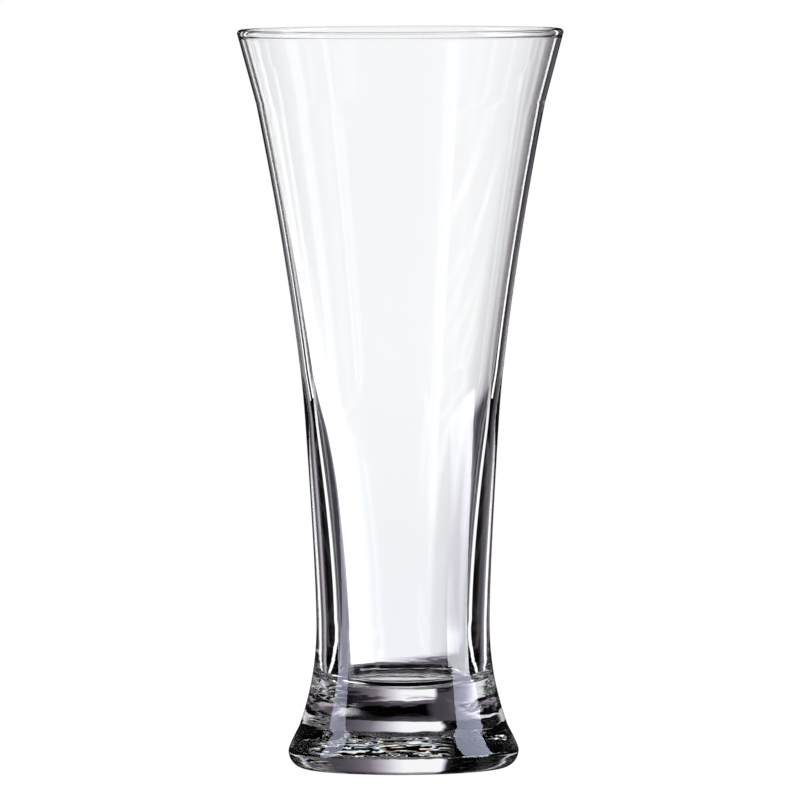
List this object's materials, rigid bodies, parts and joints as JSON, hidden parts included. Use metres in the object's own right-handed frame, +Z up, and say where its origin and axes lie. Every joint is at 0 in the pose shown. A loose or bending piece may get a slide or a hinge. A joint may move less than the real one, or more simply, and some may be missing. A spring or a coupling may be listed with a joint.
{
  "type": "juice glass",
  "caption": "Clear footed juice glass: trumpet-shaped bowl that narrows to a thick-walled shank, on a solid flared base and round foot.",
  "frame": {"origin": "centre of the flat ring that the foot stands on", "axes": "+Z up along the glass's axis of rotation, towards the rim; X and Y are any two directions across it"},
  "size_m": [0.0662, 0.0662, 0.15],
  "materials": {
    "clear_glass": "clear pressed soda-lime glass, fire-polished, almost colourless with a faint blue-grey tint where it is thick"
  },
  "bodies": {
    "root": {"rim_lip": "clear_glass", "flared_bowl": "clear_glass", "shank_wall": "clear_glass", "solid_base": "clear_glass", "foot_pad": "clear_glass"}
  },
  "joints": []
}
